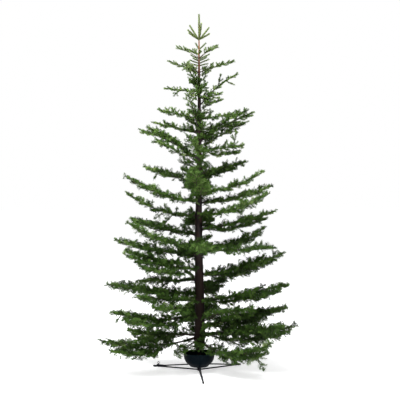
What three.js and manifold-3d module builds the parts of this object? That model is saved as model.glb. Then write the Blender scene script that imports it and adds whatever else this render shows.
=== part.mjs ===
// A cut Christmas tree, a tall open-grown noble fir, standing in a steel bowl stand with three welded rod legs.
//
// Millimetres, +Z up. The origin is on the floor under the middle of the stand, -Y is the front of the tree,
// and headings are degrees counter-clockwise from +X, seen from above.
//
// The trunk runs from its flat cut in the bowl to the leader, and every bough's foliage is one uneven solid
// that lies along its limb. A bough is named by the height where it leaves the trunk, the height and reach of
// its tip, and its heading; the rest of its shape follows from those by the functions below.
import * as THREE from 'three';
import { mergeVertices } from 'three/addons/utils/BufferGeometryUtils.js';
import Module from 'manifold-3d';

const wasm = await Module();
wasm.setup();

// ---- driving dimensions -------------------------------------------------------------------------------------

const GAP = 0.3; // between pieces that touch
const TREE_HEIGHT = 2750;

// Stand
const BOWL_BASE = 42; // underside of the bowl above the floor
const BOWL_RIM = 148;
const BOWL_RADIUS = 120;
const BOWL_WALL = 2.5;
const BOWL_FULLNESS = 2.6; // exponent of the bowl's rounded section
const BOWL_BASE_RADIUS = 46;
const PIN_RADIUS = 8;
const PIN_TOP = 140;
const HUB_RADIUS = 14;
const HUB_BOTTOM = 8;
const COLLAR_RADIUS = 22;
const LEG_HEADINGS = [274.4, 34.4, 154.4];
const FOOT_REACH = 400;
const WELD_REACH = 300; // where a leg's brace meets its rod
const LEVELLER_REACH = 355;
const ROD_RADIUS = 5.5;
const HUB_ROD_HEIGHT = 16;
const TIP_RADIUS = 8; // rubber tip on each leg's end
const TIP_LENGTH = 26;
const BRACE_RADIUS = 5;
const EYE_RADIUS = 8;
const EYE_WIRE = 2.4;
const SCREW_RADIUS = 3;

// Trunk
const BUTT = BOWL_BASE + BOWL_WALL + GAP; // the flat cut, on the bowl's floor
const STEM_TOP = 2738;
const BUTT_RADIUS = 43.5;
const STEM_TIP_RADIUS = 2;
const BUTT_FLARE = 3;
const SWAY = 6;
const SWAY_LENGTH = 1500;

// Foliage
const CLEAR_OF_TRUNK = 5;
const NEEDLE_REACH = 9; // half the thickness of a shoot with its needles
const LIMB_RADII = [8.5, 6];
const WEDGE = Math.tan((19 * Math.PI) / 180); // no bough's foliage is wider than this times its distance out
const LONG_REACH = 600; // a bough longer than this has more steps
const RAGGED = 0.3; // how uneven a bough's edge is

// Each row is one bough: the height where it leaves the trunk, the height of its tip, its reach, its heading,
// how far its middle hangs below a straight line, and how deep its foliage is.
const LEFT_BOUGHS = [
  [260, 260, 770, 187, 45, 120],
  [280, 240, 750, 143, 0, 120],
  [440, 520, 730, 207, 45, 120],
  [590, 655, 760, 167, 0, 105],
  [560, 630, 620, 222, 0, 180],
  [705, 665, 580, 150, 0, 40],
  [790, 930, 660, 217, 10, 150],
  [895, 1015, 690, 169, 20, 80],
  [960, 1160, 660, 220, 40, 85],
  [1050, 1165, 720, 142, 15, 75],
  [1200, 1375, 560, 184, 45, 95],
  [1310, 1500, 620, 212, 40, 90],
  [1455, 1585, 520, 148, 0, 105],
  [1625, 1855, 480, 199, -40, 170],
  [1830, 1940, 430, 150, -5, 65],
  [1940, 2000, 350, 208, -5, 85],
  [1860, 2130, 240, 249, -5, 50],
  [2150, 2185, 290, 168, -5, 80],
  [2180, 2370, 200, 232, -5, 50],
  [2300, 2390, 260, 186, -5, 50],
];
const RIGHT_BOUGHS = [
  [230, 320, 710, 318, 80, 125],
  [300, 385, 770, 352, 30, 170],
  [350, 455, 780, 22, 0, 150],
  [420, 545, 500, 325, 0, 150],
  [540, 695, 710, 347, 0, 135],
  [750, 900, 760, 24, 30, 130],
  [930, 980, 660, 329, 0, 110],
  [985, 1110, 690, 37, 75, 75],
  [1095, 1245, 590, 354, 15, 140],
  [1210, 1380, 620, 325, 40, 80],
  [1300, 1440, 610, 16, 30, 80],
  [1395, 1535, 520, 337, 40, 110],
  [1530, 1630, 460, 34, 0, 130],
  [1705, 1745, 370, 344, 0, 150],
  [1765, 2015, 460, 14, -30, 170],
  [1940, 1975, 310, 328, 0, 100],
  [2040, 2300, 320, 9, -40, 80],
  [2100, 2125, 250, 314, 0, 120],
  [2300, 2390, 280, 354, -5, 50],
];
// The masses towards the front and the back hold several boughs each.
const FRONT_MASSES = [
  [260, 175, 330, 236, 0, 70],
  [975, 1005, 640, 275, 15, 120],
  [1400, 1520, 480, 266, 0, 200],
];
const BACK_MASSES = [
  [430, 490, 640, 92, 30, 190],
  [640, 680, 625, 72, 20, 150],
  [910, 970, 600, 95, 15, 130],
  [1155, 1210, 560, 87, 10, 110],
  [1460, 1560, 460, 92, 0, 200],
];
// The boughs whose limb is bare near the trunk, and how far out their foliage starts.
const BARE_REACH = { left_bough_01: 175, left_bough_02: 130 };
const SPREAD_SHARE = 0.235; // half a bough's greatest width as a share of its reach
// Each shoot of a whorl is one row: its heading, how steeply it rises in degrees, and its length.
const TOP_WHORL = {
  base: 2540,
  height: 44,
  thickness: 8,
  shoots: [
    [154, 54, 122],
    [186, 38, 98],
    [218, 20, 92],
    [285, 58, 108],
    [75, 62, 112],
    [22, 48, 110],
    [332, 20, 86],
  ],
};
const SECOND_WHORL = {
  base: 2400,
  height: 24,
  thickness: 16,
  shoots: [
    [176, 22, 180],
    [245, 8, 150],
    [305, 10, 165],
    [12, 28, 162],
    [95, 18, 160],
  ],
};
const WHORL_FOOT = 12; // where a whorl's shoots leave it, above its base
const WHORL_STAGGER = 0.3; // how much higher a shoot leaves it for each degree that it rises
const LEADER_BASE = 2578;

// ---- small helpers ------------------------------------------------------------------------------------------

const radians = THREE.MathUtils.degToRad;
const lerp = THREE.MathUtils.lerp;

// A steady value from 0 to 1 for each seed, so that every bough is uneven in its own way.
function chance(seed) {
  const x = Math.sin(seed * 12.9898) * 43758.5453;
  return x - Math.floor(x);
}

function material(color, roughness, metalness = 0) {
  return new THREE.MeshStandardMaterial({ color, roughness, metalness, flatShading: true });
}

const BARK = material(0x3a2a24, 0.9);
const TWIG_BARK = material(0x4a3a26, 0.85);
const NEEDLES = material(0x35562a, 0.8);
const YOUNG_NEEDLES = material(0x5d7a3c, 0.8);
const BLACK_STEEL = material(0x14161c, 0.45, 0.6);
const BOWL_ENAMEL = material(0x12242c, 0.35, 0.3);
const ZINC = material(0x3c4046, 0.4, 0.8);

function toMesh(name, geometry, skin) {
  geometry.computeVertexNormals();
  const mesh = new THREE.Mesh(geometry, skin);
  mesh.name = name;
  return mesh;
}

function bare(geometry) {
  geometry.deleteAttribute('normal');
  geometry.deleteAttribute('uv');
  return mergeVertices(geometry, 1e-4);
}

// A closed solid made by bending a unit cylinder: place(t, x, y) gives where a point goes that is at t along
// the cylinder, and at x, y in its unit section.
function loft(sides, steps, place) {
  const geometry = new THREE.CylinderGeometry(1, 1, 1, sides, steps);
  const points = geometry.getAttribute('position');
  for (let i = 0; i < points.count; i++) {
    const to = place(points.getY(i) + 0.5, points.getX(i), points.getZ(i));
    points.setXYZ(i, to.x, to.y, to.z);
  }
  return bare(geometry);
}

// A turned solid about the Z axis. The profile's points are [radius, height].
function turned(profile, segments) {
  const geometry = new THREE.LatheGeometry(profile.map(([r, z]) => new THREE.Vector2(r, z)), segments);
  geometry.rotateX(Math.PI / 2);
  return bare(geometry);
}

// A straight tapered rod between two points.
function rod(from, to, startRadius, endRadius, sides = 8) {
  const along = new THREE.Vector3().subVectors(to, from);
  const geometry = new THREE.CylinderGeometry(endRadius, startRadius, along.length(), sides);
  geometry.rotateY(Math.PI / sides);
  const turn = new THREE.Quaternion().setFromUnitVectors(new THREE.Vector3(0, 1, 0), along.clone().normalize());
  geometry.applyQuaternion(turn);
  const middle = new THREE.Vector3().addVectors(from, to).multiplyScalar(0.5);
  geometry.translate(middle.x, middle.y, middle.z);
  return bare(geometry);
}

function toSolid(geometry) {
  const merged = mergeVertices(geometry, 1e-4);
  return new wasm.Manifold(
    new wasm.Mesh({
      numProp: 3,
      vertProperties: new Float32Array(merged.getAttribute('position').array),
      triVerts: new Uint32Array(merged.index.array),
    }),
  );
}

function toGeometry(solid) {
  const { vertProperties, triVerts } = solid.getMesh();
  const geometry = new THREE.BufferGeometry();
  geometry.setAttribute('position', new THREE.BufferAttribute(vertProperties, 3));
  geometry.setIndex(new THREE.BufferAttribute(triVerts, 1));
  return geometry;
}

function joined(geometries) {
  return geometries.map(toSolid).reduce((sum, next) => sum.add(next));
}

// ---- trunk --------------------------------------------------------------------------------------------------

function trunkRadius(z) {
  const up = (z - BUTT) / (STEM_TOP - BUTT);
  const flare = BUTT_FLARE * Math.exp(-(z - BUTT) / 70);
  return lerp(BUTT_RADIUS, STEM_TIP_RADIUS, up) + flare;
}

function trunkAxis(z) {
  const fade = 1 - z / TREE_HEIGHT;
  const phase = (2 * Math.PI * z) / SWAY_LENGTH;
  return new THREE.Vector3(SWAY * fade * Math.sin(phase), SWAY * fade * Math.cos(phase) - SWAY * fade, z);
}

function makeTrunk() {
  const body = loft(12, 18, (t, x, y) => {
    const z = lerp(BUTT, STEM_TOP, t);
    const r = trunkRadius(z);
    return trunkAxis(z).add(new THREE.Vector3(r * x, -r * y, 0));
  });
  const pinHole = new THREE.CylinderGeometry(PIN_RADIUS + GAP, PIN_RADIUS + GAP, 2 * (PIN_TOP + 6 - BUTT), 12);
  pinHole.rotateX(Math.PI / 2);
  pinHole.translate(0, 0, BUTT);
  return toMesh('trunk', toGeometry(toSolid(body).subtract(toSolid(bare(pinHole)))), BARK);
}

// ---- foliage ------------------------------------------------------------------------------------------------

// The line that a bough follows: how high it is at a share of its reach.
function boughHeight(bough, share) {
  return lerp(bough.foot, bough.tip, share) - 4 * bough.sag * share * (1 - share);
}

function boughFrame(heading) {
  const angle = radians(heading);
  return {
    out: new THREE.Vector3(Math.cos(angle), Math.sin(angle), 0),
    side: new THREE.Vector3(Math.sin(angle), -Math.cos(angle), 0),
  };
}

// How full a bough's outline is along its foliage, from 0 at either end to 1 before the middle.
function fullness(t) {
  return Math.pow(t, 0.5) * Math.pow(1 - t, 0.62) * 1.72;
}

function foliage(bough, seed) {
  const { out, side } = boughFrame(bough.heading);
  const steps = bough.reach > LONG_REACH ? 8 : 6;
  return loft(8, steps, (t, x, y) => {
    const reach = lerp(bough.start, bough.reach, t);
    const full = fullness(t);
    const edge = 1 - RAGGED * chance(seed + Math.round(t * steps) * 3.7 + (x > 0 ? 11 : 29));
    const widest = SPREAD_SHARE * bough.reach * full * edge + NEEDLE_REACH;
    const width = Math.min(widest, WEDGE * reach + NEEDLE_REACH * t);
    const depth = bough.depth * (y > 0 ? 0.42 : 0.58) * (0.35 + 0.65 * full);
    const swell = 1 - 0.35 * chance(seed + t * 17.3 + y * 5.1);
    const height = boughHeight(bough, reach / bough.reach) + depth * y * swell;
    return out.clone().multiplyScalar(reach).addScaledVector(side, width * x).setZ(height);
  });
}

function limb(bough) {
  const { out, side } = boughFrame(bough.heading);
  const from = trunkRadius(bough.foot) + SWAY + 1;
  const to = bough.start - GAP;
  return loft(6, 3, (t, x, y) => {
    const reach = lerp(from, to, t);
    const r = lerp(LIMB_RADII[0], LIMB_RADII[1], t);
    const height = boughHeight(bough, reach / bough.reach) + r * y;
    return out.clone().multiplyScalar(reach).addScaledVector(side, r * x).setZ(height);
  });
}

function toBough(name, [foot, tip, reach, heading, sag, depth]) {
  const start = BARE_REACH[name] ?? trunkRadius(foot) + SWAY + CLEAR_OF_TRUNK;
  return { name, foot, tip, reach, heading, sag, depth, start };
}

const boughs = [
  ...LEFT_BOUGHS.map((row, i) => toBough('left_bough_' + String(i + 1).padStart(2, '0'), row)),
  ...RIGHT_BOUGHS.map((row, i) => toBough('right_bough_' + String(i + 1).padStart(2, '0'), row)),
  ...FRONT_MASSES.map((row, i) => toBough('front_foliage_' + (i + 1), row)),
  ...BACK_MASSES.map((row, i) => toBough('back_foliage_' + (i + 1), row)),
];

function makeFoliage() {
  const group = new THREE.Group();
  boughs.forEach((bough, i) => group.add(toMesh(bough.name, foliage(bough, i + 1), NEEDLES)));
  return group;
}

function makeLimbs() {
  const group = new THREE.Group();
  for (const bough of boughs.filter((b) => b.name in BARE_REACH)) {
    group.add(toMesh(bough.name.replace('bough', 'limb'), limb(bough), TWIG_BARK));
  }
  return group;
}

// A whorl of young shoots round the top of the stem, joined by the collar of needles they grow from.
function whorlSolid({ base, height, thickness, shoots }) {
  const inner = trunkRadius(base) + 1.2;
  const outer = inner + 6;
  const parts = [turned([[inner, base], [outer, base], [outer, base + height], [inner, base + height], [inner, base]], 10)];
  for (const [heading, rise, length] of shoots) {
    const { out } = boughFrame(heading);
    const from = out.clone().multiplyScalar(inner + 2).setZ(base + WHORL_FOOT + WHORL_STAGGER * rise);
    const to = from.clone().addScaledVector(out, length * Math.cos(radians(rise)));
    to.z += length * Math.sin(radians(rise));
    parts.push(rod(from, to, thickness, thickness * 0.7, 5));
  }
  const stem = new THREE.CylinderGeometry(inner, inner, 400, 10);
  stem.rotateX(Math.PI / 2);
  stem.translate(0, 0, base);
  return joined(parts).subtract(toSolid(bare(stem)));
}

// Sets a solid made about the Z axis onto the stem's own axis at a height.
function ontoStem(name, solid, height) {
  const geometry = toGeometry(solid);
  const axis = trunkAxis(height);
  geometry.translate(axis.x, axis.y, 0);
  return toMesh(name, geometry, YOUNG_NEEDLES);
}

// The leader: the top shoot, a sleeve of needles over the last of the stem, with the whorl at its foot.
function makeLeader() {
  const inside = trunkRadius(LEADER_BASE) + 1.2;
  const profile = [
    [0, STEM_TOP + 1],
    [STEM_TIP_RADIUS + 1.2, STEM_TOP + 1],
    [inside, LEADER_BASE],
    [NEEDLE_REACH + 1, LEADER_BASE],
    [NEEDLE_REACH + 1, lerp(LEADER_BASE, TREE_HEIGHT, 0.4)],
    [NEEDLE_REACH - 1, TREE_HEIGHT - 12],
    [4, TREE_HEIGHT],
    [0, TREE_HEIGHT],
  ];
  const shoot = toSolid(turned(profile, 10));
  return ontoStem('leader_shoot', shoot.add(whorlSolid(TOP_WHORL)), LEADER_BASE);
}

function makeSecondWhorl() {
  return ontoStem('second_whorl', whorlSolid(SECOND_WHORL), SECOND_WHORL.base);
}

// ---- stand --------------------------------------------------------------------------------------------------

function bowlRadius(z) {
  const down = (BOWL_RIM - z) / (BOWL_RIM - BOWL_BASE + 4);
  return BOWL_RADIUS * Math.pow(1 - Math.pow(down, BOWL_FULLNESS), 1 / BOWL_FULLNESS);
}

function bowlWall(offset, base, steps) {
  return Array.from({ length: steps + 1 }, (_, i) => {
    const z = lerp(base, BOWL_RIM, Math.pow(i / steps, 1.6));
    return [bowlRadius(z) - offset, z];
  });
}

function makeBowl() {
  const hole = PIN_RADIUS + GAP;
  const outside = bowlWall(0, BOWL_BASE, 6);
  const inside = bowlWall(BOWL_WALL, BOWL_BASE + BOWL_WALL, 6).reverse();
  const profile = [[hole, BOWL_BASE], ...outside, ...inside, [hole, BOWL_BASE + BOWL_WALL], [hole, BOWL_BASE]];
  return toMesh('bowl', turned(profile, 24), BOWL_ENAMEL);
}

// The post under the bowl, with the collar that carries it and the pin that holds the trunk.
function makePin() {
  const profile = [
    [0, HUB_BOTTOM],
    [HUB_RADIUS, HUB_BOTTOM],
    [HUB_RADIUS, BOWL_BASE - 8],
    [COLLAR_RADIUS, BOWL_BASE - 5],
    [COLLAR_RADIUS, BOWL_BASE - GAP],
    [PIN_RADIUS, BOWL_BASE - GAP],
    [PIN_RADIUS, PIN_TOP - 14],
    [2, PIN_TOP],
    [0, PIN_TOP],
  ];
  return toMesh('centre_pin', turned(profile, 12), BLACK_STEEL);
}

// One leg along +X: a rod from the hub to its rubber tip, and a brace from the bowl's flank that lies on the
// rod beyond the weld.
function legSolid() {
  const at = (x, z) => new THREE.Vector3(x, 0, z);
  const rodHeight = (x) => lerp(HUB_ROD_HEIGHT, TIP_RADIUS, x / FOOT_REACH);
  const stacked = ROD_RADIUS + BRACE_RADIUS - 1.5;
  const braceEnd = LEVELLER_REACH + 12;
  const parts = [
    rod(at(HUB_RADIUS + GAP, rodHeight(0)), at(FOOT_REACH - 4, rodHeight(FOOT_REACH)), ROD_RADIUS, ROD_RADIUS),
    rod(at(FOOT_REACH - TIP_LENGTH, TIP_RADIUS), at(FOOT_REACH, TIP_RADIUS), TIP_RADIUS / Math.cos(Math.PI / 8), TIP_RADIUS / Math.cos(Math.PI / 8)),
    rod(at(52, BOWL_BASE + 12), at(WELD_REACH, rodHeight(WELD_REACH) + stacked), BRACE_RADIUS, BRACE_RADIUS),
    rod(at(WELD_REACH - 4, rodHeight(WELD_REACH) + stacked), at(braceEnd, rodHeight(braceEnd) + stacked), BRACE_RADIUS, BRACE_RADIUS),
  ];
  const room = turned([[0, BOWL_BASE - 1], ...bowlWall(-2 * GAP - 1, BOWL_BASE - 1, 6), [0, BOWL_RIM]], 24);
  const screwHole = rod(at(LEVELLER_REACH, -10), at(LEVELLER_REACH, 60), SCREW_RADIUS + GAP, SCREW_RADIUS + GAP);
  return joined(parts).subtract(toSolid(room)).subtract(toSolid(screwHole));
}

// A levelling eye screw, upright through the end of a leg, with its eye in the leg's own plane.
function screwSolid() {
  const at = (z) => new THREE.Vector3(LEVELLER_REACH, 0, z);
  const eyeHeight = 2 * (ROD_RADIUS + BRACE_RADIUS) + EYE_RADIUS + 8;
  const eye = new THREE.TorusGeometry(EYE_RADIUS, EYE_WIRE, 5, 10);
  eye.rotateX(Math.PI / 2);
  eye.translate(LEVELLER_REACH, 0, eyeHeight);
  return joined([bare(eye), rod(at(0.4), at(eyeHeight - EYE_RADIUS + 1), SCREW_RADIUS, SCREW_RADIUS, 6)]);
}

function makeStand() {
  const group = new THREE.Group();
  group.add(makeBowl(), makePin());
  const leg = toGeometry(legSolid());
  const screw = toGeometry(screwSolid());
  LEG_HEADINGS.forEach((heading, i) => {
    const side = new THREE.Group();
    side.rotation.z = radians(heading);
    side.add(toMesh('leg_' + (i + 1), leg.clone(), BLACK_STEEL), toMesh('levelling_screw_' + (i + 1), screw.clone(), ZINC));
    group.add(side);
  });
  return group;
}

// ---- the whole tree -----------------------------------------------------------------------------------------

const tree = new THREE.Group();
tree.add(makeStand(), makeTrunk(), makeLimbs(), makeFoliage(), makeSecondWhorl(), makeLeader());

export default tree;
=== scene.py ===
"""A tall cut fir in a steel bowl stand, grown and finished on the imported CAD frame.

Every size is in metres. Each mass of foliage in the frame is read as the limb it stands for: its line, its
depth, and how far its fan spreads to either side. Limbs, twigs and needles grow along it by one seeded rule.
"""

import copy
import functools
import math

import bmesh
import bpy
import numpy as np
from bpy.props import FloatProperty, FloatVectorProperty, IntProperty, PointerProperty
from mathutils import Matrix, Vector, noise


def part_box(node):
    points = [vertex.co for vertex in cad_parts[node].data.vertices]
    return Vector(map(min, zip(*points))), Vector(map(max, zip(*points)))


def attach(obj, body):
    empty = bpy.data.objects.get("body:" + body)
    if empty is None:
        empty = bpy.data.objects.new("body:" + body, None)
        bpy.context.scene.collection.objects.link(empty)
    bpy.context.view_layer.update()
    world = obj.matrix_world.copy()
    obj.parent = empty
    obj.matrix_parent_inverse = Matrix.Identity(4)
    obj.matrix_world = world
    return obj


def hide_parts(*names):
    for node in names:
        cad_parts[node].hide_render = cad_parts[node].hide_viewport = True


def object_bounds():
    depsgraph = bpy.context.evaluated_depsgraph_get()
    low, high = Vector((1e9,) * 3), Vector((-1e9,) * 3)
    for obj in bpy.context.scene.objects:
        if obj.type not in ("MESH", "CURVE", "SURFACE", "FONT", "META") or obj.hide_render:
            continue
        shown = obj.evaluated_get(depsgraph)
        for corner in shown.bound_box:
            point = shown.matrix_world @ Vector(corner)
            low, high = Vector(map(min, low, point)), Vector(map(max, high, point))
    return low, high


bl_info = {
    "name": "Cut Fir in a Bowl Stand",
    "version": (1, 0, 0),
    "blender": (4, 5, 0),
    "location": "3D View > Sidebar > Cut Fir",
    "description": "A tall open-grown fir with its bark, twigs and needles, in a steel bowl on a rod tripod",
    "category": "Add Mesh",
}

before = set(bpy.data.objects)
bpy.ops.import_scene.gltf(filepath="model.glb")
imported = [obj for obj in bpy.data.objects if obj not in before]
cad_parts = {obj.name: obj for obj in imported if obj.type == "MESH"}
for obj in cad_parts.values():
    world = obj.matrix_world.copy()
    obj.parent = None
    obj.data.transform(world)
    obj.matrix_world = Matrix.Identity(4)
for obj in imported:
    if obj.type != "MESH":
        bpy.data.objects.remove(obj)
CAD_BOX = [list(corner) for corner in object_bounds()]
HEIGHT = CAD_BOX[1][2]
LEG_COUNT = 3

# How the frame is read. The masses stand for limbs.
STEM_CORE = 0.00435  # the trunk's points nearer its axis than this belong to the pin's hole
MIDDLE_SHARE = 0.48  # how far up a mass its limb runs
THIN = 0.05  # a mass no deeper than this is a single limb
LAYER = 0.034  # a deeper one has a side limb for each of these in the rest of its depth
FRONT_LAYER = 1.7 * LAYER  # the same for the masses that point forward
OFFSETS = (-0.44, 0.28)  # the lowest and the highest side limb of a mass, as shares of its depth
SWINGS = (6, 13)  # the least and the most that a side limb turns away, in degrees
SHORTER = (0.05, 0.22)  # how much shorter it is, as a share
NARROWER = 0.85  # how wide its fan is, as a share
FORK = 0.3  # the share of its reach over which it leaves the main one
FAN_SEED = 3
RING_GAP = 0.008  # the least distance between two rings of points of a mass
RIM_GAP = 0.004  # the same for the bowl

# The trunk's collars
COLLAR_SIZE = (0.013, 0.014)  # how wide and how high the swelling round a limb is
COLLAR_REACH = 0.06  # further than this above or below a limb there is none

# Legs
WELD = 0.75  # the share of a leg's reach where its brace meets the rod
FOOT_TIP = 0.026  # length of the rubber tip

# Levelling screws
EYE = 0.008  # radius of the eye's ring
THREAD = 0.0006  # half the thread's pitch
NUT = 0.0058

# Lamps: where each is, and how wide
OVERHEAD = ((-1.2, -1.6, 5.2), 3.2)
FRONT = ((2.6, -4.6, 2.6), 2.2)
CAMERA_SHIFT = -0.016

# How the crown grows. A pair is the least and the most of a random draw, or a start and an end.
LOW = 1.5  # below this height sprays hang from the limbs, the more the lower
YOUNG = (0.5, 0.86)  # between these shares of the tree's height the shoots grow slimmer and stand apart
LIMB_END = 0.016  # how far short of its mass's tip a limb ends
LIMB_POINTS = 22
SIDE_LIMB_POINTS = 14
SIDE_LIMB_SIZE = 0.6  # how thick a side limb is, and how deep its fan, as shares of the main one's
SWAY = 0.009  # how far a limb snakes to either side, as a share of its reach
THINNEST_LIMB = 0.0013
BRANCHLET_ANGLES = (64, 38)  # from the limb, in degrees, beside the trunk and at its tip
BRANCHLET_DRIFT = (-0.5, 0.42)  # how far branchlets leave the middle of the fan, as shares of its depth
SHORTEST_BRANCHLETS = (0.12, 0.045)  # beside the trunk and at the tip
LEAST_SHOOT = 0.025  # a shorter branchlet or spray isn't grown
TWIG_ANGLES = (36, 56)
TWIG_REACH = 0.09
TWIG_TILT = 0.45  # spread of the twigs out of their branchlet's plane
TWIG_THICK = 0.0012
GAPS = 0.1  # the share of the twigs that are missing
UPRIGHT_ANGLES = (38, 68)
# Needle tones are partly the needles' age, younger and paler at the top and the tips, and partly painted
# light: painted shade on the inner and lower sprays, and a painted lit look on the upper crown.
OLDEST_SHADED_TONE = 1.35  # the needle colour beside the trunk low down, and what is added to it
TONE_BY_HEIGHT = 2.8
TONE_BY_REACH = 0.8
TONE_SPREAD = 0.6
NEEDLE_LEANS = (46, 30)  # from their shoot, in degrees, in the lower crown and at the top
NEEDLE_SPREADS = (130, 180)  # how far round the shoot they stand to either side, the same
YOUNG_NEEDLE = 0.35  # how much shorter they are at the top, as a share
FLOOR_GAP = 0.08  # no spray comes lower than this
UPPER_STEM = (0.56, 0.85)  # the shares of the tree's height between which shoots grow all round the stem
FACING = 0.3  # the longest of those to the front and the back, as a share of the height above them
WHORL_BOW = 0.33  # how far the second whorl's arms bow upward, as a share of their length
NEEDLES_A_PIECE = 95000
# Small shoots on the stem under the top whorl: height as a share of the tree's, heading, rise and length.
TOP_SPRIGS = (
    (0.9, 172, 62, 0.058),
    (0.9, 8, 44, 0.072),
    (0.888, 280, 30, 0.05),
    (0.888, 80, 35, 0.05),
    (0.873, 196, 24, 0.072),
    (0.873, 350, 24, 0.088),
    (0.868, 150, 26, 0.06),
    (0.868, 30, 28, 0.075),
    (0.861, 210, 14, 0.08),
    (0.861, 335, 18, 0.088),
    (0.855, 178, 12, 0.062),
    (0.855, 5, 14, 0.07),
)
# Single long sprays that leave their limb: its name, how far along it they start, how far they lean ahead for
# each step up (1) or down (-1), and their length.
LONE_SPRAYS = (
    ("right_bough_01", 0.72, 0.6, -1, 0.17),
    ("right_bough_14", 0.72, 0.15, 1, 0.12),
    ("left_bough_13", 0.72, 0.5, -1, 0.08),
    ("left_bough_03", 0.86, 0.6, -1, 0.08),
    ("left_bough_05", 0.5, 0.5, -1, 0.12),
    ("right_bough_17", 0.42, 0.3, 1, 0.1),
    ("right_bough_17", 0.62, 1.0, -1, 0.08),
    ("left_bough_18", 0.5, 0.8, -1, 0.07),
    ("left_bough_19", 0.45, 0.2, 1, 0.09),
    ("left_bough_11", 0.3, 0.8, -1, 0.12),
    ("left_bough_11", 0.45, 0.8, -1, 0.1),
)


# ---- settings ---------------------------------------------------------------------------------------------


def colour(name, description, default):
    kind = {"subtype": "COLOR", "min": 0, "max": 1}
    return FloatVectorProperty(name=name, description=description, default=default, **kind)


def length(name, description, default):
    kind = {"unit": "LENGTH", "min": 0, "precision": 4}
    return FloatProperty(name=name, description=description, default=default, **kind)


def share(name, description, default):
    return FloatProperty(name=name, description=description, default=default, subtype="FACTOR", min=0, max=1)


def real(name, description, default):
    return FloatProperty(name=name, description=description, default=default, min=0)


def whole(name, description, default):
    return IntProperty(name=name, description=description, default=default, min=0)


class StandSettings(bpy.types.PropertyGroup):
    enamel: colour("Bowl", "Paint of the water bowl", (0.0006, 0.003, 0.005))
    # The paler bowl paint serves for dust and for a painted highlight along the rolled rim.
    enamel_dust_and_rim_highlight: colour("Bowl edge", "Paint where dusty, and the painted highlight on the rim", (0.003, 0.01, 0.013))
    paint: colour("Rods", "Paint of the rods and the post", (0.003, 0.004, 0.008))
    scuffed: colour("Scuffed rods", "The same paint where it is scuffed", (0.0078, 0.0104, 0.0208))
    rubber: colour("Foot tips", "Rubber of the tips on the legs", (0.012, 0.012, 0.012))
    zinc: colour("Levelling screws", "Plating of the levelling screws", (0.1, 0.1, 0.11))
    bead: length("Rim bead", "Radius of the rolled rim of the bowl", 0.0032)
    wall: length("Bowl wall", "Thickness of the bowl's sheet steel", 0.0025)
    rod: length("Rod", "Radius of the legs' lower rods", 0.0055)
    brace: length("Brace", "Radius of the legs' braces", 0.005)
    eye_wire: length("Eye wire", "Radius of the wire of a levelling screw's eye", 0.0024)


class TrunkSettings(bpy.types.PropertyGroup):
    dark: colour("Dark bark", "Bark in its furrows", (0.004, 0.003, 0.003))
    brown: colour("Brown bark", "Bark on its plates", (0.034, 0.018, 0.014))
    grey: colour("Grey bark", "Weathered skin of the bark", (0.06, 0.05, 0.056))
    speck: colour("Resin and lichen", "Small pale marks on the bark", (0.07, 0.075, 0.045))
    wood: colour("Sawn wood", "End grain of the cut", (0.42, 0.29, 0.16))
    shoot: colour("Young stem", "Bark of the topmost shoots", (0.2, 0.09, 0.05))
    relief: length("Relief", "Depth of the bark's furrows", 0.0016)
    collar: length("Collars", "Swelling of the trunk round each limb", 0.004)
    sides: whole("Sides", "Points round the trunk", 56)
    step: length("Step", "Height between rings of points on the trunk", 0.008)


class CrownSettings(bpy.types.PropertyGroup):
    seed: whole("Seed", "Which tree of this shape is grown", 7)
    limb: length("Limb", "Radius of the largest limbs beside the trunk", 0.0075)
    spacing: length("Branchlet spacing", "Distance between branchlets along a limb", 0.042)
    twig_spacing: length("Twig spacing", "Distance between twigs along a branchlet", 0.034)
    upright: share("Upright twigs", "Chance of a twig that stands on a branchlet, or hangs under it", 0.45)
    hanging: share("Hanging sprays", "Chance of a spray under each pair of branchlets of a low limb", 1.0)
    standing: share("Standing sprays", "Chance of a spray over each pair of branchlets of a high limb", 0.3)
    collar_shoots: whole("Collar shoots", "Shoots beside each limb's foot", 2)
    needle: length("Needle length", "Length of a full-grown needle", 0.021)
    needle_width: length("Needle width", "Width of a needle at its widest", 0.0035)
    per_metre: whole("Needles per metre", "Needles on each metre of shoot", 790)
    top_density: real("Top density", "How much denser the top's needles are", 1.6)
    leader_density: real("Leader density", "The leader's own, over that", 2.2)
    # The needle colours, darkest to palest, are dealt out by tone: partly by the needles' age and partly as
    # painted light. The darkest is painted shade for inner sprays, and the palest are painted light on the
    # upper crown.
    shade: colour("Oldest, shaded needles", "Needles of the inner, shaded sprays", (0.009, 0.023, 0.003))
    deep: colour("Old needles", "Needles of the lower sprays", (0.018, 0.044, 0.005))
    mid: colour("Needles", "Needles of most sprays", (0.035, 0.078, 0.01))
    fresh: colour("Fresh needles", "Needles of the outer sprays", (0.07, 0.13, 0.025))
    pale: colour("Young needles", "Needles of the upper sprays", (0.125, 0.19, 0.055))
    lime: colour("Youngest needles", "Needles of the topmost shoots", (0.19, 0.25, 0.085))
    twig: colour("Twigs", "Bark of the twigs", (0.075, 0.055, 0.03))
    limb_bark: colour("Limbs", "Bark of the limbs", (0.045, 0.035, 0.028))


class StageSettings(bpy.types.PropertyGroup):
    floor: colour("Floor", "Colour of the floor", (0.88, 0.88, 0.89))
    glow: real("Floor glow", "Light of the floor's own, as on a lit table", 0.54)
    distance: length("Camera distance", "Distance from the camera to the trunk", 6.0)
    aside: length("Camera offset", "How far the camera stands to the right of the trunk", 0.007)
    eye_level: length("Camera height", "Height of the camera above the floor", 1.368)
    lens: real("Lens", "Focal length in millimetres", 70.24)
    sky: real("Studio", "Strength of the light from all round", 0.56)
    key: real("Key", "Power of the overhead light in watts", 560)
    fill: real("Fill", "Power of the front light in watts", 60)


class CutFirSettings(bpy.types.PropertyGroup):
    stand: PointerProperty(type=StandSettings)
    trunk: PointerProperty(type=TrunkSettings)
    crown: PointerProperty(type=CrownSettings)
    stage: PointerProperty(type=StageSettings)


# ---- materials --------------------------------------------------------------------------------------------


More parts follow.
